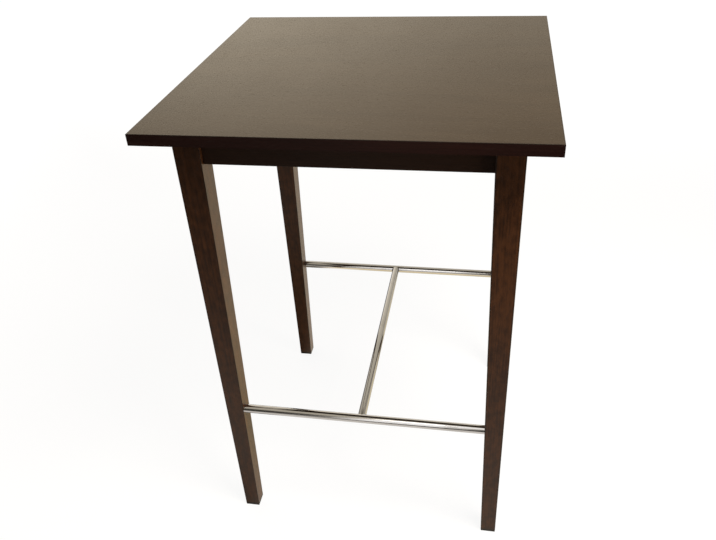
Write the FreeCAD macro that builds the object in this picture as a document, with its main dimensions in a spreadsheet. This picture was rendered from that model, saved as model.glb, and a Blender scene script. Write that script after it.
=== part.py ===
import FreeCAD, Part
import os
import re
import Sketcher
from FreeCAD import Placement, Rotation, Vector

# A tall square pub table. The origin is on the floor under the middle of the top,
# +X to the right, +Y to the back, +Z up. All lengths are in millimetres.

SIZES = {
    # the slab top
    "top_width": 750,
    "top_depth": 750,
    "table_height": 1060,
    "top_thickness": 22,
    "veneer_thickness": 1,
    "lipping_width": 8,
    "top_arris": 0.8,
    # the legs, tapered on their two inner faces
    "top_overhang": 55,
    "leg_width": 52,
    "foot_width": 35,
    "leg_arris": 1.5,
    "leg_corner_cut": 15,
    # the aprons and their stub tenons
    "apron_height": 64,
    "apron_thickness": 20,
    "apron_setback": 10,
    "apron_arris": 1,
    "tenon_length": 14,
    "tenon_thickness": 9,
    "tenon_shoulder": 12,
    # clearances, and how far a cutting shape runs past what it cuts
    "joint_gap": 0.2,
    "hole_gap": 0.3,
    "cut_overrun": 6,
    # the corner blocks, keyed into the aprons by a tongue at each end
    "block_thickness": 28,
    "block_height": 40,
    "block_standoff": 5,
    "tongue_width": 14,
    "tongue_depth": 6,
    # the hanger bolts and their flanged nuts
    "bolt_diameter": 8,
    "bolt_embedment": 40,
    "bolt_tail": 6,
    "nut_width": 13,
    "nut_thickness": 8,
    "nut_flange_diameter": 18,
    "nut_flange_thickness": 2,
    # the screws that hold the top, up through the corner blocks
    "screw_diameter": 5,
    "screw_bite": 12,
    "screw_head_diameter": 10,
    "screw_head_height": 3,
    "screw_offset": 22,
    # the foot rails and the stretcher between them
    "rail_diameter": 20,
    "rail_wall": 1.5,
    "rail_height": 341,
    "rail_setback": 11,
    "stretcher_diameter": 19,
    "weld_radius": 2,
    # the threaded plugs in the rails and the bolts through the legs
    "plug_length": 30,
    "plug_recess": 0.2,
    "rail_bolt_diameter": 6,
    "rail_bolt_grip": 20,
    "rail_bolt_head_diameter": 12,
    "rail_bolt_recess": 0.3,
    # the glides stuck under the feet
    "glide_inset": 0.5,
    "glide_thickness": 4,
}

doc = FreeCAD.newDocument("pub_table")
sheet = doc.addObject("Spreadsheet::Sheet", "sizes")
for row, (alias, size) in enumerate(SIZES.items(), start=1):
    sheet.set(f"A{row}", alias)
    sheet.set(f"B{row}", str(size))
    sheet.setAlias(f"B{row}", alias)
doc.recompute()

# Levels and distances that several pieces share.
LEG_X = "(top_width / 2 - top_overhang)"
LEG_Y = "(top_depth / 2 - top_overhang)"
UNDERSIDE = "(table_height - top_thickness)"
CORE_THICKNESS = "(top_thickness - veneer_thickness)"
APRON_FOOT = f"({UNDERSIDE} - apron_height)"
APRON_INNER = "(apron_setback + apron_thickness)"
TAPER = f"((leg_width - foot_width) / ({APRON_FOOT} - glide_thickness))"
LEG_AT_RAIL = f"(foot_width + {TAPER} * (rail_height - glide_thickness))"
RAIL_HALF = f"({LEG_X} - {LEG_AT_RAIL})"
RAIL_Y = f"({LEG_Y} - rail_setback)"
HEAD_HEIGHT = "((rail_bolt_head_diameter - rail_bolt_diameter) / 2)"
HEAD_SEAT = f"(rail_bolt_recess + {HEAD_HEIGHT})"

# In a corner's own frame both axes run inwards from the leg's outer edge. A corner block lies
# across them: on its near and far faces the two distances add up to a fixed sum.
FLAT = "(leg_width - leg_corner_cut / 2)"
BLOCK_NEAR = f"(2 * {FLAT} + block_standoff * sqrt(2))"
BLOCK_FAR = f"({BLOCK_NEAR} + block_thickness * sqrt(2))"
BLOCK_MIDDLE = f"(({BLOCK_NEAR} + {BLOCK_FAR}) / 2)"
TONGUE = f"({BLOCK_MIDDLE} - {APRON_INNER})"
BOLT_LEVEL = f"({UNDERSIDE} - block_height / 2)"
SCREW_ALONG = f"({BLOCK_MIDDLE} / 2 + screw_offset / sqrt(2))"
SCREW_ACROSS = f"({BLOCK_MIDDLE} / 2 - screw_offset / sqrt(2))"

# The corners and the sides in turn, each a quarter turn on from the one before.
CORNERS = ("front_left", "front_right", "back_right", "back_left")
SIDES = ("front", "right", "back", "left")
ORIGIN = ("0", "0", "0")
UPRIGHT = Rotation()
X_AXIS = Vector(1, 0, 0)
Y_AXIS = Vector(0, 1, 0)
Z_AXIS = Vector(0, 0, 1)


def cells(text):
    """The expression with each size's name led by its sheet."""
    return re.sub(r"[a-z]\w*", lambda word: f"sizes.{word[0]}" if word[0] in SIZES else word[0], text)


def value(text):
    """What an expression comes to at the sheet's present sizes."""
    return float(sheet.evalExpression(cells(text)))


def bind(thing, path, text):
    """Ties one property to the sheet."""
    thing.setExpression(path, cells(text))


def place(piece, base, turn):
    """Sets a piece on a point that the sheet gives."""
    piece.Placement = Placement(Vector(*map(value, base)), turn)
    for axis, text in zip("xyz", base):
        bind(piece, f"Placement.Base.{axis}", text)


def new_body(label, base=ORIGIN, turn=UPRIGHT):
    body = doc.addObject("PartDesign::Body", label)
    place(body, base, turn)
    return body


def sketch_on(body, plane, lift="0", name="profile"):
    """An empty sketch on one of the body's own planes, lifted along its normal."""
    sketch = body.newObject("Sketcher::SketchObject", f"{body.Name}_{name}")
    support = next(item for item in body.Origin.OriginFeatures if item.Role == plane)
    sketch.AttachmentSupport = (support, [""])
    sketch.MapMode = "FlatFace"
    bind(sketch, "AttachmentOffset.Base.z", lift)
    return sketch


def diagonal_sketch(body, inward, name):
    """A sketch square to a corner's diagonal, so far inwards along both of the corner's axes."""
    sketch = sketch_on(body, "XZ_Plane", f"-{inward}", name)
    sketch.AttachmentOffset = Placement(sketch.AttachmentOffset.Base, Rotation(Y_AXIS, -45))
    bind(sketch, "AttachmentOffset.Base.x", inward)
    return sketch


def hold(sketch, geometry, point, spot):
    """Holds a point of the sketch at its two distances from the origin."""
    for kind, text in zip(("DistanceX", "DistanceY"), spot):
        if text == "0":
            axis = -2 if kind == "DistanceX" else -1
            sketch.addConstraint(Sketcher.Constraint("PointOnObject", geometry, point, axis))
        else:
            index = sketch.addConstraint(Sketcher.Constraint(kind, -1, 1, geometry, point, value(text)))
            bind(sketch, f"Constraints[{index}]", text)


def outline(sketch, spots):
    """A closed outline of straight lines through points that the sheet gives."""
    first = sketch.GeometryCount
    ends = [Vector(value(x), value(y), 0) for x, y in spots]
    for start, end in zip(ends, ends[1:] + ends[:1]):
        sketch.addGeometry(Part.LineSegment(start, end))
    for index, spot in enumerate(spots):
        following = (index + 1) % len(spots)
        sketch.addConstraint(Sketcher.Constraint("Coincident", first + index, 2, first + following, 1))
        hold(sketch, first + index, 1, spot)


def rectangle(sketch, left, right, low, high):
    outline(sketch, [(left, low), (right, low), (right, high), (left, high)])


def circle(sketch, x, y, diameter):
    index = sketch.addGeometry(Part.Circle(Vector(value(x), value(y), 0), Z_AXIS, value(diameter) / 2))
    hold(sketch, index, 3, (x, y))
    size_index = sketch.addConstraint(Sketcher.Constraint("Diameter", index, value(diameter)))
    bind(sketch, f"Constraints[{size_index}]", diameter)


def feature(body, kind, profile, name, length, both_ways, reverse):
    """A pad or pocket: to a length, or right through where none is given."""
    made = body.newObject(f"PartDesign::{kind}", name)
    made.Profile = profile
    made.SideType = "Symmetric" if both_ways else "One side"
    made.Reversed = reverse
    if length is None:
        made.Type = "ThroughAll"
    else:
        bind(made, "Length", length)
    return made


def pad(body, sketch, length, both_ways=False, reverse=False):
    return feature(body, "Pad", sketch, f"{sketch.Name}_pad", length, both_ways, reverse)


def pocket(body, sketch, length=None, both_ways=False, reverse=False):
    """A cut, which has to take something away."""
    doc.recompute()
    before = body.Shape.Volume
    made = feature(body, "Pocket", sketch, f"{sketch.Name}_pocket", length, both_ways, reverse)
    doc.recompute()
    if not body.Shape.Volume < before:
        raise RuntimeError(f"{made.Name} cuts nothing")
    return made


def round_edges(body, wanted, radius, name):
    """Rounds each edge of the body so far that the given test picks."""
    doc.recompute()
    base = body.Tip
    edges = [f"Edge{index}" for index, edge in enumerate(base.Shape.Edges, start=1) if wanted(edge)]
    fillet = body.newObject("PartDesign::Fillet", f"{body.Name}_{name}")
    fillet.Base = (base, edges)
    bind(fillet, "Radius", radius)
    return fillet


def turned(label, spots):
    """A turned piece: a half profile, given as radius and height, spun about the body's Z axis."""
    body = new_body(label)
    sketch = sketch_on(body, "XZ_Plane")
    outline(sketch, spots)
    spin = body.newObject("PartDesign::Revolution", f"{label}_spin")
    spin.Profile = sketch
    spin.ReferenceAxis = (sketch, ["V_Axis"])
    return body


def ring(label, outer, inner, length):
    """A plain ring along the body's Z axis."""
    body = new_body(label)
    sketch = sketch_on(body, "XY_Plane")
    circle(sketch, "0", "0", outer)
    circle(sketch, "0", "0", inner)
    pad(body, sketch, length)
    return body


def copies(label, source, places):
    """Separate copies of one small piece, kept together as one sub-part."""
    group = doc.addObject("Part::Compound", label)
    links = []
    for index, (base, turn) in enumerate(places, start=1):
        link = doc.addObject("App::Link", f"{label}_{index}")
        link.LinkedObject = source
        place(link, base, turn)
        links.append(link)
    group.Links = links
    return group


def lies_along_x(name):
    """Whether the first axis of a corner, or the run of a side, lies along X."""
    return name in CORNERS[::2] + SIDES[::2]


def quarter_turn(name):
    """The turn from the first corner or side to the named one."""
    return Rotation(Z_AXIS, 90 * (CORNERS if name in CORNERS else SIDES).index(name))


def corner_signs(corner):
    """On which side of the middle a corner lies, along X and along Y."""
    return (-1 if corner.endswith("left") else 1, -1 if corner.startswith("front") else 1)


def corner_point(corner, along, across, level):
    """A point so far inwards along a corner's first and second axis, at a level above the floor."""
    sign_x, sign_y = corner_signs(corner)
    inward_x, inward_y = (along, across) if lies_along_x(corner) else (across, along)
    return (f"{sign_x} * ({LEG_X} - {inward_x})", f"{sign_y} * ({LEG_Y} - {inward_y})", level)


def side_point(side, outward_x, outward_y, level):
    """The middle of a side that lies so far out from the table's middle."""
    normal = quarter_turn(side).multVec(-Y_AXIS)
    return (f"{round(normal.x)} * {outward_x}", f"{round(normal.y)} * {outward_y}", level)


def make_core():
    """The core board of the top, with pilot holes for the screws that hold it."""
    body = new_body("top_core", ("0", "0", UNDERSIDE))
    board = sketch_on(body, "XY_Plane", name="board")
    half_x = "(top_width / 2 - lipping_width)"
    half_y = "(top_depth / 2 - lipping_width)"
    rectangle(board, f"-{half_x}", half_x, f"-{half_y}", half_y)
    pad(body, board, CORE_THICKNESS)
    pilots = sketch_on(body, "XY_Plane", name="pilots")
    for corner in CORNERS:
        x, y, _ = corner_point(corner, SCREW_ALONG, SCREW_ACROSS, UNDERSIDE)
        circle(pilots, x, y, "screw_diameter + hole_gap")
    pocket(body, pilots, "screw_bite + hole_gap", reverse=True)
    return body


def make_veneer():
    """The face veneer over the core and the lippings, its upper edges eased."""
    body = new_body("face_veneer", ("0", "0", "table_height - veneer_thickness"))
    sheet_outline = sketch_on(body, "XY_Plane")
    rectangle(sheet_outline, "-top_width / 2", "top_width / 2", "-top_depth / 2", "top_depth / 2")
    pad(body, sheet_outline, "veneer_thickness")
    middle = value("veneer_thickness") / 2
    round_edges(body, lambda edge: edge.BoundBox.ZMin > middle, "top_arris", "arris")
    return body


def make_lipping(side):
    """A solid lipping along one edge of the core, mitred at both ends."""
    base = side_point(side, "top_width / 2", "top_depth / 2", UNDERSIDE)
    body = new_body(f"lipping_{side}", base, quarter_turn(side))
    half = "(top_width / 2)" if lies_along_x(side) else "(top_depth / 2)"
    inner = f"({half} - lipping_width)"
    strip = sketch_on(body, "XY_Plane")
    outline(strip, [(f"-{half}", "0"), (half, "0"), (inner, "lipping_width"), (f"-{inner}", "lipping_width")])
    pad(body, strip, CORE_THICKNESS)
    return body


def make_leg(corner):
    """A square leg, sawn to a taper on its two inner faces below the aprons."""
    body = new_body(f"leg_{corner}", corner_point(corner, "0", "0", "0"), quarter_turn(corner))
    blank = sketch_on(body, "XY_Plane", "glide_thickness", "blank")
    rectangle(blank, "0", "leg_width", "0", "leg_width")
    pad(body, blank, f"{APRON_FOOT} - glide_thickness")
    saw_cut = [
        (f"leg_width + {TAPER} * cut_overrun", f"{APRON_FOOT} + cut_overrun"),
        ("leg_width + cut_overrun", f"{APRON_FOOT} + cut_overrun"),
        ("leg_width + cut_overrun", "glide_thickness - cut_overrun"),
        (f"foot_width - {TAPER} * cut_overrun", "glide_thickness - cut_overrun"),
    ]
    for plane in ("XZ_Plane", "YZ_Plane"):
        taper = sketch_on(body, plane, name=f"taper_{plane[:2]}")
        outline(taper, saw_cut)
        pocket(body, taper, both_ways=True)
    width = value("leg_width")
    round_edges(body, lambda edge: edge.BoundBox.ZLength > width, "leg_arris", "arris")
    add_leg_head(body)
    cut_mortises(body)
    bolt_hole = diagonal_sketch(body, FLAT, "bolt_hole")
    circle(bolt_hole, "0", BOLT_LEVEL, "bolt_diameter + hole_gap")
    pocket(body, bolt_hole, "bolt_embedment + hole_gap", reverse=True)
    bore_for_rail_bolt(body, lies_along_x(corner))
    return body


def add_leg_head(body):
    """The straight head of the leg between the aprons, with a flat across its inner corner for the bolt."""
    doc.recompute()
    shaft = body.Tip
    faces = shaft.Shape.Faces
    top = max(range(len(faces)), key=lambda index: faces[index].BoundBox.ZMin)
    feature(body, "Pad", (shaft, [f"Face{top + 1}"]), f"{body.Name}_head", "apron_height", False, False)
    flat = sketch_on(body, "XY_Plane", UNDERSIDE, "flat")
    near = "leg_width - leg_corner_cut - cut_overrun"
    far = "leg_width + cut_overrun"
    outline(flat, [(near, far), (far, near), (far, far)])
    pocket(body, flat, "apron_height")


def cut_mortises(body):
    """A mortise in each inner face for the stub tenon of an apron."""
    mortises = sketch_on(body, "XY_Plane", f"{UNDERSIDE} - tenon_shoulder + joint_gap", "mortises")
    bottom = "leg_width - tenon_length - joint_gap"
    mouth = "leg_width + cut_overrun"
    near = "apron_setback + (apron_thickness - tenon_thickness) / 2 - joint_gap"
    far = "apron_setback + (apron_thickness + tenon_thickness) / 2 + joint_gap"
    rectangle(mortises, bottom, mouth, near, far)
    rectangle(mortises, near, far, bottom, mouth)
    pocket(body, mortises, "apron_height - 2 * tenon_shoulder + 2 * joint_gap")


def bore_for_rail_bolt(body, along_x):
    """A hole right through the leg for the bolt into the foot rail, countersunk in the leg's outer face."""
    mouth = "(rail_bolt_head_diameter / 2 + rail_bolt_recess + hole_gap)"
    shank = "((rail_bolt_diameter + hole_gap) / 2)"
    far = "leg_width + cut_overrun"
    profile = [("0", "0"), ("0", mouth), (f"{mouth} - {shank}", shank), (far, shank), (far, "0")]
    drill = sketch_on(body, "XY_Plane", "rail_height", "drill")
    bind(drill, f"AttachmentOffset.Base.{'y' if along_x else 'x'}", "rail_setback")
    outline(drill, profile if along_x else [(across, along) for along, across in profile])
    hole = body.newObject("PartDesign::Groove", f"{body.Name}_rail_hole")
    hole.Profile = drill
    hole.ReferenceAxis = (drill, ["H_Axis" if along_x else "V_Axis"])


def make_apron(side):
    """An apron with a stub tenon at each end and two stopped slots for the corner blocks' tongues."""
    half = f"({LEG_X if lies_along_x(side) else LEG_Y} - leg_width)"
    base = side_point(side, f"({LEG_X} - apron_setback)", f"({LEG_Y} - apron_setback)", UNDERSIDE)
    body = new_body(f"apron_{side}", base, quarter_turn(side))
    board = sketch_on(body, "XY_Plane", name="board")
    rectangle(board, f"-{half}", half, "0", "apron_thickness")
    pad(body, board, "apron_height", reverse=True)
    middle = -value("apron_height") / 2
    long = value(half)
    round_edges(
        body,
        lambda edge: edge.BoundBox.ZMax < middle and edge.BoundBox.XLength > long,
        "apron_arris",
        "arris",
    )
    tenons = sketch_on(body, "XY_Plane", "-tenon_shoulder", "tenons")
    tip = f"({half} + tenon_length)"
    rectangle(
        tenons,
        f"-{tip}",
        tip,
        "(apron_thickness - tenon_thickness) / 2",
        "(apron_thickness + tenon_thickness) / 2",
    )
    pad(body, tenons, "apron_height - 2 * tenon_shoulder", reverse=True)
    slots = sketch_on(body, "XY_Plane", "cut_overrun", "slots")
    tongue = f"({half} + leg_width - {TONGUE})"
    for sign in (-1, 1):
        rectangle(
            slots,
            f"{sign} * {tongue} - tongue_width / 2 - joint_gap",
            f"{sign} * {tongue} + tongue_width / 2 + joint_gap",
            "apron_thickness - tongue_depth - joint_gap",
            "apron_thickness + cut_overrun",
        )
    pocket(body, slots, "block_height + joint_gap + cut_overrun")
    return body


def make_corner_block(corner):
    """A hardwood block across the corner, bored for the hanger bolt and for a screw into the top."""
    body = new_body(f"corner_block_{corner}", corner_point(corner, "0", "0", UNDERSIDE), quarter_turn(corner))
    near_end = f"({BLOCK_NEAR} - {APRON_INNER})"
    far_end = f"({BLOCK_FAR} - {APRON_INNER})"
    tongue_near = f"({TONGUE} - tongue_width / 2)"
    tongue_far = f"({TONGUE} + tongue_width / 2)"
    tongue_tip = f"({APRON_INNER} - tongue_depth)"
    one_end = [
        (near_end, APRON_INNER),
        (tongue_near, APRON_INNER),
        (tongue_near, tongue_tip),
        (tongue_far, tongue_tip),
        (tongue_far, APRON_INNER),
        (far_end, APRON_INNER),
    ]
    plan = sketch_on(body, "XY_Plane", name="plan")
    outline(plan, one_end + [(across, along) for along, across in reversed(one_end)])
    pad(body, plan, "block_height", reverse=True)
    bolt_hole = diagonal_sketch(body, FLAT, "bolt_hole")
    circle(bolt_hole, "0", "-block_height / 2", "bolt_diameter + hole_gap")
    pocket(body, bolt_hole, both_ways=True)
    screw_hole = sketch_on(body, "XY_Plane", name="screw_hole")
    circle(screw_hole, SCREW_ALONG, SCREW_ACROSS, "screw_diameter + hole_gap")
    pocket(body, screw_hole)
    return body


def make_hanger_bolts():
    """A bolt in each leg's flat, drawn through the corner block by a flanged nut."""
    nut_seat = "(block_standoff + block_thickness)"
    radius = "bolt_diameter / 2"
    end = f"{nut_seat} + nut_thickness + bolt_tail"
    bolt = turned("hanger_bolt", [
        ("0", "-bolt_embedment"),
        (radius, "-bolt_embedment"),
        (radius, end),
        ("0", end),
    ])
    nut = new_body("flanged_nut")
    hexagon = sketch_on(nut, "XY_Plane", name="hexagon")
    flat = "nut_width / 2"
    point = "nut_width / sqrt(3)"
    outline(hexagon, [
        (point, "0"),
        (f"{point} / 2", flat),
        (f"-{point} / 2", flat),
        (f"-{point}", "0"),
        (f"-{point} / 2", f"-{flat}"),
        (f"{point} / 2", f"-{flat}"),
    ])
    pad(nut, hexagon, "nut_thickness")
    flange = sketch_on(nut, "XY_Plane", name="flange")
    circle(flange, "0", "0", "nut_flange_diameter")
    pad(nut, flange, "nut_flange_thickness")
    bore = sketch_on(nut, "XY_Plane", name="bore")
    circle(bore, "0", "0", "bolt_diameter + hole_gap")
    pocket(nut, bore, both_ways=True)

    def along_bolts(distance):
        step = f"({FLAT} + {distance} / sqrt(2))"
        lying = Rotation(Z_AXIS, 45) * Rotation(Y_AXIS, 90)
        return [
            (corner_point(corner, step, step, BOLT_LEVEL), quarter_turn(corner) * lying)
            for corner in CORNERS
        ]

    return [
        copies("hanger_bolts", bolt, along_bolts("0")),
        copies("bolt_nuts", nut, along_bolts(nut_seat)),
    ]


def make_top_screws():
    """A screw up through each corner block into the core of the top."""
    radius = "screw_diameter / 2"
    head_radius = "screw_head_diameter / 2"
    reach = "(block_height + screw_bite)"
    screw = turned("top_screw", [
        ("0", f"-{reach}"),
        (radius, f"-{reach}"),
        (radius, "0"),
        (head_radius, "0"),
        (head_radius, "screw_head_height"),
        ("0", "screw_head_height"),
    ])
    head_down = Rotation(X_AXIS, 180)
    return copies("top_screws", screw, [
        (corner_point(corner, SCREW_ALONG, SCREW_ACROSS, f"{UNDERSIDE} - block_height"), head_down)
        for corner in CORNERS
    ])


def make_rail(label, sign):
    """A foot rail: a tube whose ends are cut to the slope of the legs' inner faces."""
    body = new_body(label, ("0", f"{sign} * {RAIL_Y}", "rail_height"))
    tube = sketch_on(body, "YZ_Plane", name="tube")
    circle(tube, "0", "0", "rail_diameter")
    circle(tube, "0", "0", "rail_diameter - 2 * rail_wall")
    slope = f"{TAPER} * rail_diameter"
    pad(body, tube, f"2 * ({RAIL_HALF} + {slope})", both_ways=True)
    ends = sketch_on(body, "XZ_Plane", name="ends")
    for side in (-1, 1):
        outline(ends, [
            (f"{side} * ({RAIL_HALF} - {slope})", "rail_diameter"),
            (f"{side} * ({RAIL_HALF} + cut_overrun)", "rail_diameter"),
            (f"{side} * ({RAIL_HALF} + cut_overrun)", "-rail_diameter"),
            (f"{side} * ({RAIL_HALF} + {slope})", "-rail_diameter"),
        ])
    pocket(body, ends, both_ways=True)
    return body


def make_stretcher():
    """The tube between the rails. Each end is a saddle that sits on its rail, flared by the weld."""
    body = new_body("stretcher", ("0", "0", "rail_height"))
    bar = sketch_on(body, "XZ_Plane", name="bar")
    circle(bar, "0", "0", "stretcher_diameter")
    pad(body, bar, f"2 * {RAIL_Y}", both_ways=True)
    rail_stubs = sketch_on(body, "YZ_Plane", name="rail_stubs")
    saddles = sketch_on(body, "YZ_Plane", name="saddles")
    for sign in (-1, 1):
        for sketch in (rail_stubs, saddles):
            circle(sketch, f"{sign} * {RAIL_Y}", "0", "rail_diameter")
    pad(body, rail_stubs, "2 * stretcher_diameter + 2 * weld_radius", both_ways=True)
    simple = ("Part::GeomLine", "Part::GeomCircle")
    round_edges(body, lambda edge: edge.Curve.TypeId not in simple, "weld_radius", "welds")
    pocket(body, saddles, both_ways=True)
    bore = sketch_on(body, "XZ_Plane", name="bore")
    circle(bore, "0", "0", "stretcher_diameter - 2 * rail_wall")
    pocket(body, bore, both_ways=True)
    return body


def make_rail_fixings():
    """A threaded plug in each end of each rail, and the flat-headed bolt that reaches it through the leg."""
    plug = ring(
        "rail_plug",
        "rail_diameter - 2 * rail_wall - hole_gap",
        "rail_bolt_diameter + hole_gap",
        "plug_length",
    )
    radius = "rail_bolt_diameter / 2"
    reach = f"({LEG_AT_RAIL} - {HEAD_SEAT} + rail_bolt_grip)"
    bolt = turned("rail_bolt", [
        ("0", f"-{reach}"),
        (radius, f"-{reach}"),
        (radius, "0"),
        ("rail_bolt_head_diameter / 2", HEAD_HEIGHT),
        ("0", HEAD_HEIGHT),
    ])
    plug_foot = f"({RAIL_HALF} - {TAPER} * rail_diameter - plug_recess - plug_length)"
    plug_places = []
    bolt_places = []
    for sign_x, sign_y in map(corner_signs, CORNERS):
        outward = Rotation(Y_AXIS, 90 * sign_x)
        across = f"{sign_y} * {RAIL_Y}"
        plug_places.append(((f"{sign_x} * {plug_foot}", across, "rail_height"), outward))
        bolt_places.append(((f"{sign_x} * ({LEG_X} - {HEAD_SEAT})", across, "rail_height"), outward))
    return [copies("rail_plugs", plug, plug_places), copies("rail_bolts", bolt, bolt_places)]


def make_glides():
    """A square pad stuck under each foot, a little smaller than the foot."""
    glide = new_body("glide")
    plan = sketch_on(glide, "XY_Plane", name="plan")
    half = "(foot_width / 2 - glide_inset)"
    rectangle(plan, f"-{half}", half, f"-{half}", half)
    pad(glide, plan, "glide_thickness")
    middle = "foot_width / 2"
    return copies("glides", glide, [
        (corner_point(corner, middle, middle, "0"), UPRIGHT)
        for corner in CORNERS
    ])


pieces = [make_core(), make_veneer()]
pieces += [make_lipping(side) for side in SIDES]
pieces += [make_leg(corner) for corner in CORNERS]
pieces += [make_apron(side) for side in SIDES]
pieces += [make_corner_block(corner) for corner in CORNERS]
pieces += make_hanger_bolts()
pieces += [make_top_screws()]
pieces += [make_rail("foot_rail_front", -1), make_rail("foot_rail_back", 1), make_stretcher()]
pieces += make_rail_fixings()
pieces += [make_glides()]

doc.recompute()
for item in doc.Objects:
    if "Invalid" in item.State or "Error" in item.State:
        raise RuntimeError(f"{item.Label} failed: {item.State}")
for piece in pieces:
    if piece.Shape.isNull() or not piece.Shape.isValid():
        raise RuntimeError(f"{piece.Label} has no valid shape")

os.makedirs("parts", exist_ok=True)
for piece in pieces:
    piece.Shape.exportStep(f"parts/{piece.Label}.step")
    print(piece.Label, len(piece.Shape.Solids), round(piece.Shape.Volume))
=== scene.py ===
import math

import bmesh
import bpy
from mathutils import Matrix, Vector


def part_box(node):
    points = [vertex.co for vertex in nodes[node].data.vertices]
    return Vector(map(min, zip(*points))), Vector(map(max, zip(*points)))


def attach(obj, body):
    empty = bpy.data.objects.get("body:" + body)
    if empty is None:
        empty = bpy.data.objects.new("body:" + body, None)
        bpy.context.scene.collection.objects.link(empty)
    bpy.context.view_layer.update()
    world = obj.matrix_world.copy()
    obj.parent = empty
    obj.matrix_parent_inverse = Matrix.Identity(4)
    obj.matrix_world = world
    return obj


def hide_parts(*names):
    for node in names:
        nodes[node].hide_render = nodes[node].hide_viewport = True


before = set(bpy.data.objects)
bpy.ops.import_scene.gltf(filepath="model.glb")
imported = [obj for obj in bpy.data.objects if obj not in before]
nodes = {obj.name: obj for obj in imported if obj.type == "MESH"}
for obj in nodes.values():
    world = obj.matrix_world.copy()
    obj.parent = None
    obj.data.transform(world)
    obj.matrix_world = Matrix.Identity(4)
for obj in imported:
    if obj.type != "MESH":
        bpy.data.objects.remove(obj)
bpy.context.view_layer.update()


# Legs
# Four square legs, tapered on their two inner faces, planed from solid hardwood.
# They are stained espresso brown and sprayed with satin lacquer. The colour is darker
# along their long corners, and painted shade darkens the last few millimetres at the foot.
class Field:
    """A value on a surface. It wraps a shader socket, and sums of fields add their own Math nodes."""

    def __init__(self, tree, socket=None):
        self.tree = tree
        self.socket = socket

    def node(self, kind, settings, inputs, output=0):
        """Adds a node, sets it up, then fills or links its sockets, and gives one of its outputs."""
        made = self.tree.nodes.new("ShaderNode" + kind)
        for setting, value in settings.items():
            setattr(made, setting, value)
        for name, value in inputs.items():
            if isinstance(value, Field):
                self.tree.links.new(value.socket, made.inputs[name])
            else:
                made.inputs[name].default_value = value
        return Field(self.tree, made.outputs[output] if made.outputs else None)

    def math(self, operation, *terms):
        return self.node("Math", {"operation": operation}, dict(enumerate(terms)))

    def __add__(self, other):
        return self.math("ADD", self, other)

    def __sub__(self, other):
        return self.math("SUBTRACT", self, other)

    def __rsub__(self, other):
        return self.math("SUBTRACT", other, self)

    def __mul__(self, other):
        return self.math("MULTIPLY", self, other)

    __radd__ = __add__
    __rmul__ = __mul__

    def least(self, other):
        return self.math("MINIMUM", self, other)

    def most(self, other):
        return self.math("MAXIMUM", self, other)

    def size(self):
        return self.math("ABSOLUTE", self)

    def rise(self, low, high):
        """0 below low, 1 above high, smooth in between. With low above high it falls instead."""
        inputs = {"Value": self, "From Min": low, "From Max": high}
        return self.node("MapRange", {"interpolation_type": "SMOOTHSTEP"}, inputs)

    def noise(self, place, scale=1.0, detail=2.0, roughness=0.5):
        inputs = {"Vector": place, "Scale": scale, "Detail": detail, "Roughness": roughness}
        return self.node("TexNoise", {}, inputs, "Fac")

    def blend(self, low, high):
        """A colour from low to high, by this value. A Mix node's colours are its inputs 6 and 7
        and its output 2."""
        settings = {"data_type": "RGBA"}
        return self.node("Mix", settings, {"Factor": self, 6: low, 7: high}, 2)

    def stretched(self, place, stretch=(1, 1, 1), shift=(0, 0, 0), turn=(0, 0, 0)):
        inputs = {"Vector": place, "Location": shift, "Rotation": turn, "Scale": stretch}
        return self.node("Mapping", {"vector_type": "POINT"}, inputs)

    def along(self, place):
        """The x, y and z of a place on the object, in metres."""
        apart = self.node("SeparateXYZ", {}, {"Vector": place}).socket.node
        return [Field(self.tree, socket) for socket in apart.outputs]


def new_finish(name):
    """A bare material, with its field to add nodes from and the place on the object."""
    material = bpy.data.materials.new(name)
    material.use_nodes = True
    material.node_tree.nodes.clear()
    start = Field(material.node_tree)
    return material, start, start.node("TexCoord", {}, {}, "Object")


def finish_surface(start, inputs, bump=None, depth=0.0):
    """Ends a material with its Principled shader, and a bump of that depth in metres."""
    if bump is not None:
        height = {"Height": bump, "Distance": depth, "Strength": 1.0}
        inputs = dict(inputs, Normal=start.node("Bump", {}, height))
    shader = start.node("BsdfPrincipled", {}, inputs)
    start.node("OutputMaterial", {}, {"Surface": shader})


def dress(material, *names):
    """Gives CAD nodes their finish."""
    for name in names:
        nodes[name].material_slots[0].material = material


GRAIN_TURN = {"x": (0, math.radians(90), 0), "y": (math.radians(90), 0, 0), "z": (0, 0, 0)}
BEND_STRETCH = (9, 9, 1.6)
HEART_LEAN = (0.012, 0.019, 0)
FIBRE_STRETCH = (340, 340, 7)
PORE_STRETCH = (1500, 1500, 55)
CLOUD_STRETCH = (11, 11, 2.6)
CLOUD_SHIFT = (3, 5, 7)
# A wave texture turns through this many radians over one unit
WAVE_RATE = 20


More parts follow.
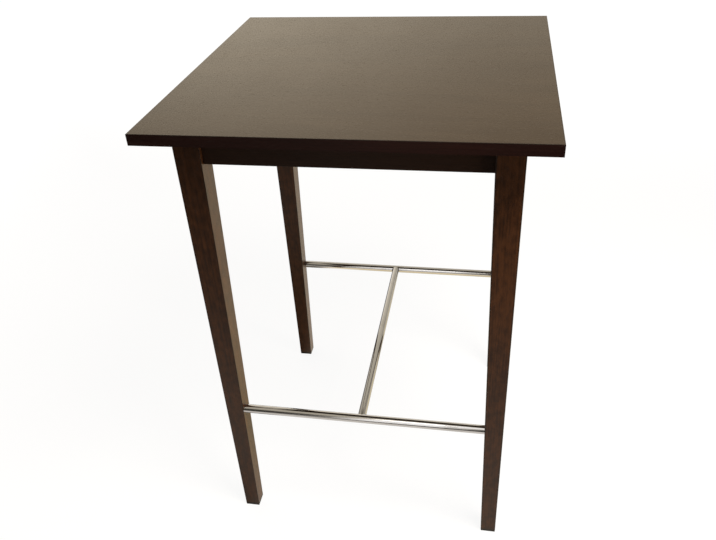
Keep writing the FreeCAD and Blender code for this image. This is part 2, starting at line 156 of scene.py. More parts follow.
def grain_fields(start, place, axis, ring_width, heart, wander):
    """The figure of a board: growth rings, fibres, pores and clouding, with the grain along axis."""
    lengthwise = start.stretched(place, turn=GRAIN_TURN[axis])
    bend_inputs = {"Vector": start.stretched(lengthwise, BEND_STRETCH), "Scale": 1.0, "Detail": 2.0}
    bend = start.node("TexNoise", {}, bend_inputs, "Color")
    bent = start.node("VectorMath", {"operation": "MULTIPLY_ADD"},
                      {0: bend, 1: (wander, wander, 0), 2: lengthwise})
    from_heart = start.stretched(bent, shift=heart, turn=HEART_LEAN)
    ring_scale = 2 * math.pi / WAVE_RATE / ring_width
    rings = start.node("TexWave", {"wave_type": "RINGS", "rings_direction": "Z", "wave_profile": "SAW"},
                       {"Vector": from_heart, "Scale": ring_scale, "Distortion": 0.6, "Detail": 2.0,
                        "Detail Scale": 1.4, "Detail Roughness": 0.6}, "Fac")
    fibres = start.noise(start.stretched(bent, FIBRE_STRETCH), detail=4.0, roughness=0.62)
    pores = start.noise(start.stretched(bent, PORE_STRETCH), detail=1.0).rise(0.60, 0.74)
    cloud_place = start.stretched(lengthwise, CLOUD_STRETCH, CLOUD_SHIFT)
    clouds = start.noise(cloud_place, detail=3.0, roughness=0.55)
    return rings, fibres, pores, clouds


LEG_PALE = (0.098, 0.0365, 0.0132, 1)
LEG_DARK = (0.034, 0.0128, 0.0050, 1)
LEG_PORE = (0.020, 0.009, 0.006, 1)
LEG_EDGE_AND_FOOT_SHADE = (0.012, 0.006, 0.004, 1)
LEG_RING = 0.0052
LEG_HEART = (0.11, 0.07, 0.0)
LEG_WANDER = 0.012
MOTTLE_STRETCH = (90, 90, 45)
MOTTLE_SHIFT = (1, 2, 3)
GRAIN_DEPTH = 0.00008
# The corner darkening and the painted foot shade start this far from a corner or the foot, and are full
# this far from it
CORNER_REACH = (0.0030, 0.0008)
FOOT_SHADE_REACH = (0.0060, 0.0025)
FOOT_WIDTH = 0.035
leg_low, leg_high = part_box("leg_back_right")
LEG_OUTER = leg_high.x
LEG_WIDTH = leg_high.x - leg_low.x
TAPER_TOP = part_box("apron_front")[0].z

leg_stain, start, place = new_finish("espresso_legs")
rings, fibres, pores, clouds = grain_fields(start, place, "z", LEG_RING, LEG_HEART, LEG_WANDER)
mottle = start.noise(start.stretched(place, MOTTLE_STRETCH, MOTTLE_SHIFT))
tone = fibres * 0.50 + rings * 0.08 + clouds * 0.45 + mottle * 0.60 - 0.315
colour = tone.rise(0.28, 0.74).blend(LEG_DARK, LEG_PALE)
colour = (pores * 0.55).blend(colour, LEG_PORE)
x, y, z = start.along(place)
width = z.least(TAPER_TOP) * ((LEG_WIDTH - FOOT_WIDTH) / (TAPER_TOP - leg_low.z)) + FOOT_WIDTH
from_side = (LEG_OUTER - x.size()).least(x.size() + width - LEG_OUTER)
from_front = (LEG_OUTER - y.size()).least(y.size() + width - LEG_OUTER)
corner = from_side.most(from_front).rise(*CORNER_REACH)
# Painted shade: the colour darkens over the last few millimetres above the foot.
painted_foot_shade = z.rise(leg_low.z + FOOT_SHADE_REACH[0], leg_low.z + FOOT_SHADE_REACH[1])
colour = (corner * 0.75).most(painted_foot_shade).blend(colour, LEG_EDGE_AND_FOOT_SHADE)
roughness = 0.33 + fibres * 0.10 + pores * 0.10
finish_surface(start, {"Base Color": colour, "Roughness": roughness, "IOR": 1.38},
               fibres * 0.30 - pores, GRAIN_DEPTH)
dress(leg_stain, "leg_front_left", "leg_front_right", "leg_back_right", "leg_back_left")


# Aprons
# Four straight boards between the legs' heads, tenoned into them and glued.
# Their colour is set darker than the legs', which paints in the shade of the top above
# them. They have the same lacquer, with the grain along each board.
# Painted shade: these apron colours are darker than the legs' to stand for the top's shade over them.
APRON_PALE = (0.044, 0.0205, 0.0122, 1)
APRON_DARK = (0.026, 0.0118, 0.0072, 1)
APRON_HEART = (0.06, 0.10, 0.0)
BOARD_PORE = (0.013, 0.006, 0.004, 1)
BOARD_RING = 0.0046
BOARD_WANDER = 0.010


def board_stain(name, axis, dark, pale, heart):
    """Espresso stain under satin lacquer on a straight board."""
    material, start, place = new_finish(name)
    rings, fibres, pores, clouds = grain_fields(start, place, axis, BOARD_RING, heart, BOARD_WANDER)
    tone = fibres * 0.60 + rings * 0.10 + clouds * 0.75 - 0.25
    colour = tone.rise(0.18, 0.82).blend(dark, pale)
    colour = (pores * 0.55).blend(colour, BOARD_PORE)
    roughness = 0.34 + fibres * 0.12 + pores * 0.12
    finish_surface(start, {"Base Color": colour, "Roughness": roughness, "IOR": 1.3},
                   fibres * 0.30 - pores, GRAIN_DEPTH)
    return material


dress(board_stain("espresso_aprons_x", "x", APRON_DARK, APRON_PALE, APRON_HEART),
      "apron_front", "apron_back")
dress(board_stain("espresso_aprons_y", "y", APRON_DARK, APRON_PALE, APRON_HEART),
      "apron_right", "apron_left")


# Corner blocks
# A block of unfinished hardwood across each corner, sawn to shape.
# Its tongues are keyed and glued into the aprons, and the leg's bolt pulls on it.
BLOCK_PALE = (0.52, 0.36, 0.215, 1)
BLOCK_DARK = (0.33, 0.205, 0.112, 1)
BLOCK_PORE = (0.22, 0.125, 0.065, 1)
BLOCK_RING = 0.0050
BLOCK_HEART = (0.05, 0.12, 0.0)
BLOCK_WANDER = 0.010
SAW_SCALE = 118.0
SAW_DEPTH = 0.0002

sawn_wood, start, place = new_finish("sawn_hardwood")
rings, fibres, pores, clouds = grain_fields(start, place, "x", BLOCK_RING, BLOCK_HEART, BLOCK_WANDER)
tone = fibres * 0.7 + rings * 0.35 + clouds * 0.5 - 0.28
colour = (pores * 0.4).blend(tone.rise(0.15, 0.9).blend(BLOCK_PALE, BLOCK_DARK), BLOCK_PORE)
saw_marks = start.node("TexWave", {"wave_type": "BANDS", "bands_direction": "DIAGONAL"},
                       {"Vector": place, "Scale": SAW_SCALE, "Distortion": 3.0, "Detail": 2.0}, "Fac")
finish_surface(start, {"Base Color": colour, "Roughness": 0.62 + fibres * 0.2, "IOR": 1.5},
               fibres * 0.5 + saw_marks * 0.4 - pores, SAW_DEPTH)
dress(sawn_wood, "corner_block_front_left", "corner_block_front_right",
      "corner_block_back_right", "corner_block_back_left")


# Hanger bolts and nuts
# A steel hanger bolt screwed into each leg, with a flanged nut that draws the
# leg against its corner block. Both are turned from bar and bright zinc plated.
ZINC_PALE = (0.66, 0.66, 0.63, 1)
ZINC_DULL = (0.40, 0.41, 0.40, 1)
SPANGLES_PER_METRE = 420.0
FILM_SCALE = 130.0
FILM_DEPTH = 0.00004

zinc, start, place = new_finish("bright_zinc")
spangle_inputs = {"Vector": place, "Scale": SPANGLES_PER_METRE}
spangle = start.node("TexVoronoi", {"feature": "F1"}, spangle_inputs, "Color")
spangle = start.node("SeparateColor", {}, {"Color": spangle})
film = start.noise(place, FILM_SCALE, 4.0, 0.6)
colour = (film * 0.8 + spangle * 0.25).rise(0.30, 0.80).blend(ZINC_PALE, ZINC_DULL)
roughness = 0.24 + film * 0.20 + spangle * 0.06
finish_surface(start, {"Base Color": colour, "Metallic": 1.0, "Roughness": roughness},
               film + spangle * 0.3, FILM_DEPTH)
dress(zinc, "bolt_nuts")

TURNING_STEPS = 48
THREAD_STEPS = 24
SPARE_TURNS = 4
SHARP_ANGLE = math.radians(35)
MERGE_GAP = 1e-6
CENTRE = (0, 0, 0)
UPWARD = (0, 0, 1)
QUARTERS = ((-1, -1), (1, -1), (1, 1), (-1, 1))


def quarter_box(name, side_x, side_y):
    """The lowest and highest corner of a CAD node's solid in one quarter of the table."""
    spots = [spot.co for spot in nodes[name].data.vertices
             if spot.co.x * side_x > 0 and spot.co.y * side_y > 0]
    return Vector([min(axis) for axis in zip(*spots)]), Vector([max(axis) for axis in zip(*spots)])


def turned(spots):
    """A turned form: a half profile, given as radius and height, spun about the Z axis."""
    form = bmesh.new()
    points = [form.verts.new((radius, 0, height)) for radius, height in spots]
    lines = [form.edges.new(pair) for pair in zip(points, points[1:])]
    bmesh.ops.spin(form, geom=points + lines, cent=CENTRE, axis=UPWARD, angle=2 * math.pi,
                   steps=TURNING_STEPS, use_merge=True)
    bmesh.ops.remove_doubles(form, verts=form.verts, dist=MERGE_GAP)
    bmesh.ops.recalc_face_normals(form, faces=form.faces)
    return form


def open_edges(form):
    return [edge for edge in form.edges if edge.is_boundary]


def thread(radius, depth, pitch, low, high, point, point_share):
    """A screw thread up the Z axis from low to high. The last of it narrows to a point."""
    form = bmesh.new()
    foot = low - SPARE_TURNS / 2 * pitch
    turns = math.ceil((high - low) / pitch) + SPARE_TURNS
    ridge = [form.verts.new((radius - depth, 0, foot)), form.verts.new((radius, 0, foot + pitch / 2)),
             form.verts.new((radius - depth, 0, foot + pitch))]
    flanks = [form.edges.new(pair) for pair in zip(ridge, ridge[1:])]
    bmesh.ops.spin(form, geom=ridge + flanks, cent=CENTRE, axis=UPWARD, angle=turns * 2 * math.pi,
                   steps=turns * THREAD_STEPS, dvec=(0, 0, pitch / THREAD_STEPS))
    bmesh.ops.remove_doubles(form, verts=form.verts, dist=MERGE_GAP)
    for level, outward in ((low, -1), (high - point, 1)):
        bmesh.ops.bisect_plane(form, geom=form.verts[:] + form.edges[:] + form.faces[:], dist=MERGE_GAP,
                               plane_co=(0, 0, level), plane_no=(0, 0, outward), clear_outer=True)
    bmesh.ops.holes_fill(form, edges=open_edges(form))
    end = max(form.faces, key=lambda face: face.calc_center_median().z)
    tip = bmesh.ops.extrude_discrete_faces(form, faces=[end])["faces"][0]
    bmesh.ops.translate(form, vec=(0, 0, point), verts=tip.verts)
    bmesh.ops.scale(form, vec=(point_share, point_share, 1), verts=tip.verts)
    bmesh.ops.recalc_face_normals(form, faces=form.faces)
    return form


def turn_over(form):
    """Turns a form upside down about the X axis."""
    bmesh.ops.rotate(form, cent=CENTRE, matrix=Matrix.Rotation(math.pi, 3, "X"), verts=form.verts)


def new_object(name, data):
    """An object in the scene, for a mesh, a lamp or the camera."""
    made = bpy.data.objects.new(name, data)
    bpy.context.scene.collection.objects.link(made)
    return made


def fasteners(name, node, forms, places):
    """Zinc-plated fasteners, each of the same few forms, as one piece that stands for a CAD node."""
    whole = bmesh.new()
    for form in forms:
        single = bpy.data.meshes.new(name)
        form.to_mesh(single)
        form.free()
        for at in places:
            first = len(whole.verts)
            whole.from_mesh(single)
            whole.verts.ensure_lookup_table()
            bmesh.ops.transform(whole, matrix=at, verts=whole.verts[first:])
        bpy.data.meshes.remove(single)
    for face in whole.faces:
        face.smooth = True
    for edge in whole.edges:
        edge.smooth = edge.calc_face_angle(0) < SHARP_ANGLE
    mesh = bpy.data.meshes.new(name)
    whole.to_mesh(mesh)
    whole.free()
    mesh.materials.append(zinc)
    piece = new_object(name, mesh)
    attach(piece, "root")
    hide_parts(node)


BOLT_RADIUS = 0.004
BOLT_LENGTH = 0.087
BOLT_WOOD_END = 0.034
BOLT_NUT_END = 0.056
BOLT_PITCH = 0.00125
BOLT_THREAD_DEPTH = 0.0007
BOLT_CHAMFER = 0.0008
CHAMFER_SHARE = 0.82
WOOD_PITCH = 0.0032
WOOD_THREAD_DEPTH = 0.0011
WOOD_POINT = 0.005
WOOD_POINT_SHARE = 0.25
LAP = 0.001

nut_end = BOLT_LENGTH - BOLT_NUT_END
shank = turned([(0, BOLT_WOOD_END - LAP), (BOLT_RADIUS, BOLT_WOOD_END - LAP),
                (BOLT_RADIUS, nut_end + LAP), (0, nut_end + LAP)])
nut_thread = thread(BOLT_RADIUS, BOLT_THREAD_DEPTH, BOLT_PITCH, nut_end, BOLT_LENGTH,
                    BOLT_CHAMFER, CHAMFER_SHARE)
wood_thread = thread(BOLT_RADIUS, WOOD_THREAD_DEPTH, WOOD_PITCH, -BOLT_WOOD_END, 0,
                     WOOD_POINT, WOOD_POINT_SHARE)
turn_over(wood_thread)

bolt_places = []
for side_x, side_y in QUARTERS:
    low, high = quarter_box("hanger_bolts", side_x, side_y)
    inward = Vector((-side_x, -side_y, 0)).normalized()
    outer_end = (low + high) / 2 - inward * BOLT_LENGTH / 2
    lie = inward.to_track_quat("Z", "Y").to_matrix().to_4x4()
    bolt_places.append(Matrix.Translation(outer_end) @ lie)
fasteners("threaded_hanger_bolts", "hanger_bolts", [shank, nut_thread, wood_thread], bolt_places)


# Foot rails
# Two round steel tubes between the legs, polished and chrome plated.
# Handling leaves a faint haze, and the plate is a little duller there.
CHROME_PALE = (0.67, 0.680, 0.700, 1)
CHROME_HAZED = (0.58, 0.585, 0.595, 1)
CHROME_GRAZING = (0.60, 0.67, 0.88, 1)
HAZE_SCALE = 22.0
POLISH_SCALE = 900.0

chrome, start, place = new_finish("polished_chrome")
haze = start.noise(place, HAZE_SCALE, 4.0, 0.6).rise(0.42, 0.78)
polish = start.noise(place, POLISH_SCALE)
finish_surface(start, {"Base Color": haze.blend(CHROME_PALE, CHROME_HAZED), "Metallic": 1.0,
                       "Specular Tint": CHROME_GRAZING, "Roughness": 0.07 + haze * 0.07 + polish * 0.03})
dress(chrome, "foot_rail_front", "foot_rail_back")


# Stretcher
# A chromed tube from the middle of one rail to the middle of the other.
# Its ends are saddled over the rails and welded before plating.
dress(chrome, "stretcher")


# Rail plugs and bolts
# A threaded plug is fixed in each end of the rails. A flat-headed bolt, sunk in
# the leg's outer side, goes through the leg into the plug. All are zinc plated.
dress(zinc, "rail_plugs")


def drive_recess(form, corners, level, depth, foot_share):
    """Closes the open rim of a head with a flat face, and sinks a recess for the driver in it.
    The recess's mouth starts below the rim, because loops on one level can be bridged crosswise."""
    rim = open_edges(form)
    mouth = [form.verts.new((x, y, level - LAP)) for x, y in corners]
    sides = [form.edges.new(pair) for pair in zip(mouth, mouth[1:] + mouth[:1])]
    bmesh.ops.subdivide_edges(form, edges=sides, cuts=TURNING_STEPS // len(mouth) - 1)
    sides = [edge for edge in form.edges if edge.is_wire]
    bmesh.ops.bridge_loops(form, edges=rim + sides)
    lip = list({vert for edge in sides for vert in edge.verts})
    bmesh.ops.translate(form, vec=(0, 0, LAP), verts=lip)
    walls = bmesh.ops.extrude_edge_only(form, edges=sides)["geom"]
    foot = [item for item in walls if isinstance(item, bmesh.types.BMVert)]
    bmesh.ops.translate(form, vec=(0, 0, -depth), verts=foot)
    bmesh.ops.scale(form, vec=(foot_share, foot_share, 1), verts=foot)
    bmesh.ops.holes_fill(form, edges=open_edges(form))
    bmesh.ops.recalc_face_normals(form, faces=form.faces)


RAIL_BOLT_RADIUS = 0.003
RAIL_BOLT_HEAD = 0.006
RAIL_BOLT_LAND = 0.00025
RAIL_BOLT_THREAD = 0.021
RAIL_BOLT_PITCH = 0.001
RAIL_BOLT_THREAD_DEPTH = 0.00055
SOCKET_WIDTH = 0.004
SOCKET_DEPTH = 0.0022

low, high = quarter_box("rail_bolts", 1, 1)
bolt_reach = high.x - low.x
head_depth = RAIL_BOLT_HEAD - RAIL_BOLT_RADIUS
shank_end = RAIL_BOLT_THREAD - bolt_reach - LAP
head = turned([(RAIL_BOLT_HEAD, 0), (RAIL_BOLT_HEAD, -RAIL_BOLT_LAND), (RAIL_BOLT_RADIUS, -head_depth),
               (RAIL_BOLT_RADIUS, shank_end), (0, shank_end)])
socket_corner = Vector((SOCKET_WIDTH / math.sqrt(3), 0))
hexagon = [Matrix.Rotation(turn * math.pi / 3, 2) @ socket_corner for turn in range(6)]
drive_recess(head, hexagon, 0, SOCKET_DEPTH, 1.0)
plug_thread = thread(RAIL_BOLT_RADIUS, RAIL_BOLT_THREAD_DEPTH, RAIL_BOLT_PITCH,
                     bolt_reach - RAIL_BOLT_THREAD, bolt_reach, BOLT_CHAMFER, CHAMFER_SHARE)
turn_over(plug_thread)

rail_bolt_places = []
for side_x, side_y in QUARTERS:
    low, high = quarter_box("rail_bolts", side_x, side_y)
    face = (low + high) / 2 + Vector((side_x * bolt_reach / 2, 0, 0))
    rail_bolt_places.append(Matrix.Translation(face) @ Matrix.Rotation(side_x * math.pi / 2, 4, "Y"))
fasteners("socket_rail_bolts", "rail_bolts", [head, plug_thread], rail_bolt_places)


# Glides
# A thin square pad of black moulded plastic, stuck under each foot.
# Its sole is scuffed grey where it slides on the floor.
GLIDE_BLACK = (0.012, 0.012, 0.012, 1)
GLIDE_SCUFFED = (0.075, 0.073, 0.070, 1)
SCUFF_SCALE = 260.0
SCUFF_HEIGHT = 0.0035
STIPPLE_SCALE = 1900.0
STIPPLE_DEPTH = 0.00003

glide_plastic, start, place = new_finish("moulded_plastic")
z = start.along(place)[2]
scuffs = start.noise(place, SCUFF_SCALE, 3.0, 0.65).rise(0.48, 0.70) * z.rise(SCUFF_HEIGHT, 0.0)
stipple = start.noise(place, STIPPLE_SCALE, 1.0)
finish_surface(start, {"Base Color": scuffs.blend(GLIDE_BLACK, GLIDE_SCUFFED),
                       "Roughness": 0.48 + scuffs * 0.25 + stipple * 0.08, "IOR": 1.5},
               stipple, STIPPLE_DEPTH)
dress(glide_plastic, "glides")


# Core of the top
# A board of pressed wood chips under the veneer, with its four edges lipped.
# Its underside is sealed with a dark coat against damp.
CORE_PALE = (0.060, 0.036, 0.025, 1)
CORE_DARK = (0.028, 0.016, 0.011, 1)
CHIP_STRETCH = (150, 260, 200)
CHIP_TURN = (0, 0, 0.4)
DUST_SCALE = 420.0
CHIP_DEPTH = 0.00015

sealed_board, start, place = new_finish("sealed_core_board")
chip_place = start.stretched(place, CHIP_STRETCH, turn=CHIP_TURN)
chip_inputs = {"Vector": chip_place, "Scale": 1.0, "Randomness": 1.0}
chips = start.node("TexVoronoi", {"feature": "F1"}, chip_inputs, "Color")
chips = start.node("SeparateColor", {}, {"Color": chips})
dust = start.noise(place, DUST_SCALE, 3.0, 0.6)
colour = (chips * 0.6 + dust * 0.5).rise(0.25, 0.85).blend(CORE_DARK, CORE_PALE)
finish_surface(start, {"Base Color": colour, "Roughness": 0.52 + dust * 0.16, "IOR": 1.5},
               chips * 0.4 + dust * 0.5, CHIP_DEPTH)
dress(sealed_board, "top_core")


# Lippings
# Strips of solid hardwood glued round the core's four edges, mitred at the
# corners, and stained nearly black.
LIPPING_PALE = (0.030, 0.0110, 0.0085, 1)
LIPPING_DARK = (0.0135, 0.0048, 0.0040, 1)
LIPPING_HEART = (0.09, 0.05, 0.0)
dress(board_stain("espresso_lippings_x", "x", LIPPING_DARK, LIPPING_PALE, LIPPING_HEART),
      "lipping_front", "lipping_back")
dress(board_stain("espresso_lippings_y", "y", LIPPING_DARK, LIPPING_PALE, LIPPING_HEART),
      "lipping_right", "lipping_left")


# Face veneer
# A sheet of crown-cut veneer pressed over the core and lippings, stained
# espresso and lacquered to a satin sheen. The stain is darker along its arris.
VENEER_PALE = (0.038, 0.0258, 0.0150, 1)
VENEER_DARK = (0.025, 0.0163, 0.0093, 1)
VENEER_PORE = (0.024, 0.012, 0.008, 1)
VENEER_EDGE = (0.010, 0.006, 0.005, 1)
VENEER_RING = 0.0105
VENEER_HEART = (0.03, 0.085, 0.0)
VENEER_WANDER = 0.030
ARRIS_REACH = (0.0030, 0.0006)
SMEAR_STRETCH = (9, 4, 1)
SMEAR_SHIFT = (2, 1, 0)
SMEAR_TURN = (0, 0, 0.5)
VENEER_DEPTH = 0.00005
TOP_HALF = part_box("face_veneer")[1].x

veneer, start, place = new_finish("espresso_veneer")
rings, fibres, pores, clouds = grain_fields(start, place, "x", VENEER_RING, VENEER_HEART, VENEER_WANDER)
tone = fibres * 0.55 + rings * 0.09 + clouds * 0.75 - 0.20
colour = tone.rise(0.16, 0.86).blend(VENEER_DARK, VENEER_PALE)
colour = (pores * 0.5).blend(colour, VENEER_PORE)
x, y = start.along(place)[:2]
arris = (TOP_HALF - x.size().most(y.size())).rise(*ARRIS_REACH)
colour = (arris * 0.8).blend(colour, VENEER_EDGE)
smear_place = start.stretched(place, SMEAR_STRETCH, SMEAR_SHIFT, SMEAR_TURN)
smears = start.noise(smear_place, detail=4.0, roughness=0.6)
roughness = 0.17 + fibres * 0.05 + smears * 0.09 + pores * 0.08
finish_surface(start, {"Base Color": colour, "Roughness": roughness, "IOR": 1.3},
               fibres * 0.35 - pores, VENEER_DEPTH)
dress(veneer, "face_veneer")


# Top screws
# A zinc-plated steel screw, driven up through each corner block into the core,
# holds the top down on the frame.
SCREW_RADIUS = 0.0025
SCREW_HEAD = 0.005
SCREW_HEAD_HEIGHT = 0.003
SCREW_HEAD_CURVE = ((0.58, 1.0), (0.80, 0.90), (0.94, 0.68), (1.0, 0.34), (1.0, 0.0))
SCREW_SHANK = 0.030
SCREW_PITCH = 0.0022
SCREW_THREAD_DEPTH = 0.0008
SCREW_POINT_SHARE = 0.2
CROSS_REACH = 0.0024
CROSS_HALF_WIDTH = 0.0005
CROSS_DEPTH = 0.0020
CROSS_FOOT_SHARE = 0.5

low, high = quarter_box("top_screws", 1, 1)
screw_end = SCREW_HEAD_HEIGHT - (high.z - low.z)
dome = [(SCREW_HEAD * out, SCREW_HEAD_HEIGHT * up) for out, up in SCREW_HEAD_CURVE]
pan_head = turned(dome + [(SCREW_RADIUS, 0), (SCREW_RADIUS, -SCREW_SHANK), (0, -SCREW_SHANK)])
arm = [(CROSS_REACH, -CROSS_HALF_WIDTH), (CROSS_REACH, CROSS_HALF_WIDTH),
       (CROSS_HALF_WIDTH, CROSS_HALF_WIDTH)]
cross = [Matrix.Rotation(turn * math.pi / 2, 2) @ Vector(corner) for turn in range(4) for corner in arm]
drive_recess(pan_head, cross, SCREW_HEAD_HEIGHT, CROSS_DEPTH, CROSS_FOOT_SHARE)
screw_thread = thread(SCREW_RADIUS, SCREW_THREAD_DEPTH, SCREW_PITCH, SCREW_SHANK - LAP, -screw_end,
                      WOOD_POINT, SCREW_POINT_SHARE)
turn_over(screw_thread)

screw_places = []
for side_x, side_y in QUARTERS:
    low, high = quarter_box("top_screws", side_x, side_y)
    seat = Vector(((low.x + high.x) / 2, (low.y + high.y) / 2, low.z + SCREW_HEAD_HEIGHT))
    screw_places.append(Matrix.Translation(seat) @ Matrix.Rotation(math.pi, 4, "X"))
fasteners("cross_head_top_screws", "top_screws", [pan_head, screw_thread], screw_places)


# Floor and light
# A plain white paper floor under soft warm light. The camera sees it white, with the
# table's faint shadow, and reflections see it pale and warm. From below it is clear.
FLOOR_RADIUS = 16.0
FLOOR_SIDES = 96
WHITE = (1, 1, 1, 1)
NEAR_WHITE = 0.905
SHADOW_GREY = (0.12, 0.12, 0.12, 1)
BOUNCE = (0.22, 0.21, 0.19, 1)
FRONT_WARMTH = (1.0, 0.91, 0.80, 1)
BACK_WARMTH = (1.0, 0.81, 0.50, 1)
GLOW_SLANT = 2.4
PATCH_X = -0.42
PATCH_Y = -2.5
# Where each change on the floor starts and where it is full, in metres
LEFT_OF_LEGS = (-0.27, -0.33)
PAST_FRONT_FEET = (-0.6, -0.1)
GLOW_START = (0.5, 0.9)
FRONT_SWEEP = (-1.7, -0.5)
BACK_SWEEP = (-0.50, -0.15)
WARM_START = (-0.45, -0.05)
PATCH_WIDTH = (0.55, 0.10)
PATCH_DEPTH = (1.0, 0.3)
FAR_START = (1.2, 3.0)


def ray_kinds(start):
    """1 for a ray from the camera or through glass, and 1 for a ray from a reflection."""
    rays = start.node("LightPath", {}, {}).socket.node.outputs
    kinds = ("Is Camera Ray", "Is Transmission Ray", "Is Glossy Ray")
    seen, through, reflected = [Field(start.tree, rays[kind]) for kind in kinds]
    return seen.most(through), reflected


ring = bmesh.new()
bmesh.ops.create_circle(ring, cap_ends=True, segments=FLOOR_SIDES, radius=FLOOR_RADIUS)
floor_mesh = bpy.data.meshes.new("studio_floor")
ring.to_mesh(floor_mesh)
ring.free()
floor = new_object("studio_floor", floor_mesh)

paper, start, place = new_finish("white_paper_floor")
camera_ray, glossy_ray = ray_kinds(start)
x, y = start.along(place)[:2]
lit = start.node("BsdfDiffuse", {}, {"Color": BOUNCE})
shadow = start.node("BsdfDiffuse", {}, {"Color": SHADOW_GREY})
far = x.size().most(y.size()).rise(*FAR_START)
white = start.node("Emission", {}, {"Color": WHITE, "Strength": far * (1.0 - NEAR_WHITE) + NEAR_WHITE})
shown = start.node("AddShader", {}, {0: shadow, 1: white})

# In reflections the floor shows painted light: dark far in front, but for one bright patch.
# A painted shade dims it to the left of the legs, and it is palest behind the table.
left_shade = x.rise(*LEFT_OF_LEGS) * y.rise(*PAST_FRONT_FEET)
back_glow = (y - x * GLOW_SLANT).rise(*GLOW_START)
front_patch = (x - PATCH_X).size().rise(*PATCH_WIDTH) * (y - PATCH_Y).size().rise(*PATCH_DEPTH)
sweep = y.rise(*FRONT_SWEEP) * 0.84 + y.rise(*BACK_SWEEP) * (back_glow * 0.38 + 0.12)
sweep = sweep * (1.0 - left_shade * 0.88) + front_patch * 0.9
warmth = (y.rise(*WARM_START) * (1.0 - back_glow * 0.7)).blend(FRONT_WARMTH, BACK_WARMTH)
mirrored = start.node("Emission", {}, {"Color": warmth, "Strength": sweep})

top_side = start.node("MixShader", {}, {0: camera_ray, 1: lit, 2: shown})
top_side = start.node("MixShader", {}, {0: glossy_ray, 1: top_side, 2: mirrored})
below = start.node("NewGeometry", {}, {}, "Backfacing")
clear = start.node("BsdfTransparent", {}, {})
both_sides = start.node("MixShader", {}, {0: below, 1: top_side, 2: clear})
start.node("OutputMaterial", {}, {"Surface": both_sides})
floor_mesh.materials.append(paper)

BRIGHT_SIDE = Vector((-0.78, 0.61, 0.10)).normalized()
SKY_WARMTH = (1.0, 0.88, 0.69, 1)
GAP_WARMTH = (1.0, 0.95, 0.90, 1)
GAP_SLANT = 0.14
GAP_SHIFT = 0.035
# Where each change in the sky starts and where it is full, as parts of a direction of length 1
FILL_SPREAD = (0.35, 1.0)
PANEL_DEPTH = (0.70, 0.90)
PANEL_ACROSS = (0.10, -0.40)
PANEL_TOP = (0.34, 0.42)
GAP_WIDTH = (0.115, 0.05)
GAP_DEPTH = (-0.1, -0.4)
SIDES_TOP = (0.78, 0.40)
SIDES_DEPTH = (0.0, -0.3)
DIM_ACROSS = (-0.20, 0.05)
DIM_FOOT = (0.30, 0.39)
DIM_TOP = (0.56, 0.44)
DIM_DEPTH = (0.0, 0.5)

world = bpy.data.worlds.new("studio")
bpy.context.scene.world = world
world.use_nodes = True
world.node_tree.nodes.clear()
start = Field(world.node_tree)
camera_ray, glossy_ray = ray_kinds(start)
toward = start.node("TexCoord", {}, {}, "Generated")
facing = start.node("VectorMath", {"operation": "DOT_PRODUCT"}, {0: toward, 1: BRIGHT_SIDE}, "Value")
fill = facing.rise(*FILL_SPREAD) * 0.80 + 0.05

# The sky's own light comes from the back left. Reflections see a pale panel behind the
# table, dimmer to the right, and in front a bright gap between dark sides.
across, depth, height = start.along(toward)
panel_across = across.rise(*PANEL_ACROSS) * 0.70 + 0.36
back_panel = depth.rise(*PANEL_DEPTH) * panel_across * (1.0 - height.rise(*PANEL_TOP) * 0.45)
front_gap = (across - depth * GAP_SLANT - GAP_SHIFT).size().rise(*GAP_WIDTH) * depth.rise(*GAP_DEPTH)
dark_sides = height.rise(*SIDES_TOP) * depth.rise(*SIDES_DEPTH) * (1.0 - front_gap)
dim_band = height.rise(*DIM_FOOT) * height.rise(*DIM_TOP)
dim_right = across.rise(*DIM_ACROSS) * dim_band * depth.rise(*DIM_DEPTH)
mirrored = back_panel + front_gap * 0.75 - dark_sides * 0.46 - dim_right * 0.24 + 0.52
level = fill + glossy_ray * (mirrored - fill)
hue = front_gap.blend(SKY_WARMTH, GAP_WARMTH)
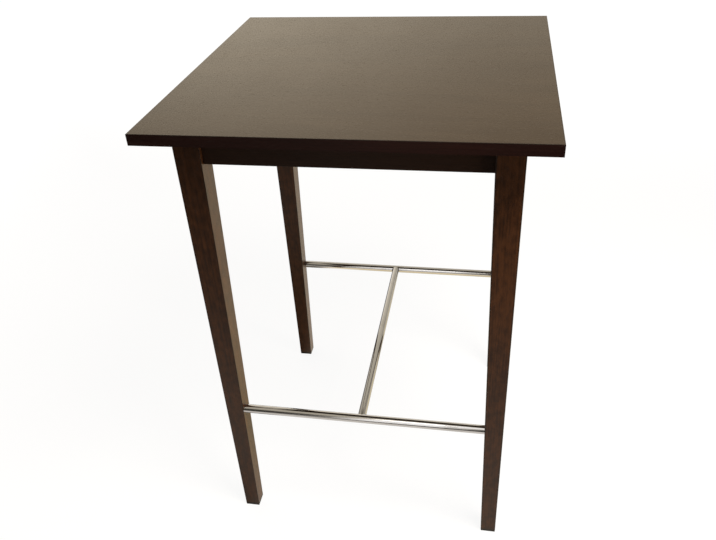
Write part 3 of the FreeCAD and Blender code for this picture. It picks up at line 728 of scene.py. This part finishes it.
around = start.node("Background", {}, {"Color": hue, "Strength": level})
behind = start.node("Background", {}, {"Color": WHITE, "Strength": 1.0})
sky = start.node("MixShader", {}, {0: camera_ray, 1: around, 2: behind})
start.node("OutputWorld", {}, {"Surface": sky})

LAMP_WARMTH = (1.0, 0.92, 0.82)


def soft_box(name, spot, aim, width, height, watts, mirrored=False):
    """A soft warm lamp at spot, turned to aim. It shows in reflections if it is mirrored."""
    lamp = bpy.data.lights.new(name, "AREA")
    lamp.shape = "RECTANGLE"
    lamp.size, lamp.size_y = width, height
    lamp.energy = watts
    lamp.color = LAMP_WARMTH
    stand = new_object(name, lamp)
    stand.location = spot
    stand.rotation_euler = (Vector(aim) - Vector(spot)).to_track_quat("-Z", "Y").to_euler()
    stand.visible_camera = False
    stand.visible_glossy = mirrored


soft_box("overhead_light", spot=(-0.9, 1.0, 3.2), aim=(0, 0, 0.9), width=2.2, height=2.2, watts=35)
soft_box("front_light", spot=(0.9, -0.75, 2.70), aim=(0.1, 0, 0.5), width=0.9, height=0.9, watts=66)
soft_box("side_light", spot=(1.6, -0.60, 0.75), aim=(0, 0, 0.5), width=0.6, height=0.6, watts=15)
soft_box("rail_light", spot=(-0.07, -1.5, 2.2), aim=(0.1, -0.31, 0.34), width=0.35, height=0.5,
         watts=1.2, mirrored=True)


# Camera
# A plain lens, a little below standing eye height, in front of the table and to
# the right of its middle. It looks down across the top.
CAMERA_SPOT = (0.2568, -1.4695, 1.5502)
CAMERA_TURN = (56.0495, 2.9120, 9.8825)
FOCAL_LENGTH = 36.388
SENSOR_WIDTH = 36.0
SIGHT_LIMIT = 100.0

lens = bpy.data.cameras.new("camera")
lens.sensor_fit = "HORIZONTAL"
lens.sensor_width = SENSOR_WIDTH
lens.lens = FOCAL_LENGTH
lens.clip_end = SIGHT_LIMIT
camera = new_object("camera", lens)
camera.location = CAMERA_SPOT
camera.rotation_euler = [math.radians(angle) for angle in CAMERA_TURN]
bpy.context.scene.camera = camera

bpy.context.scene.view_settings.view_transform = "Standard"
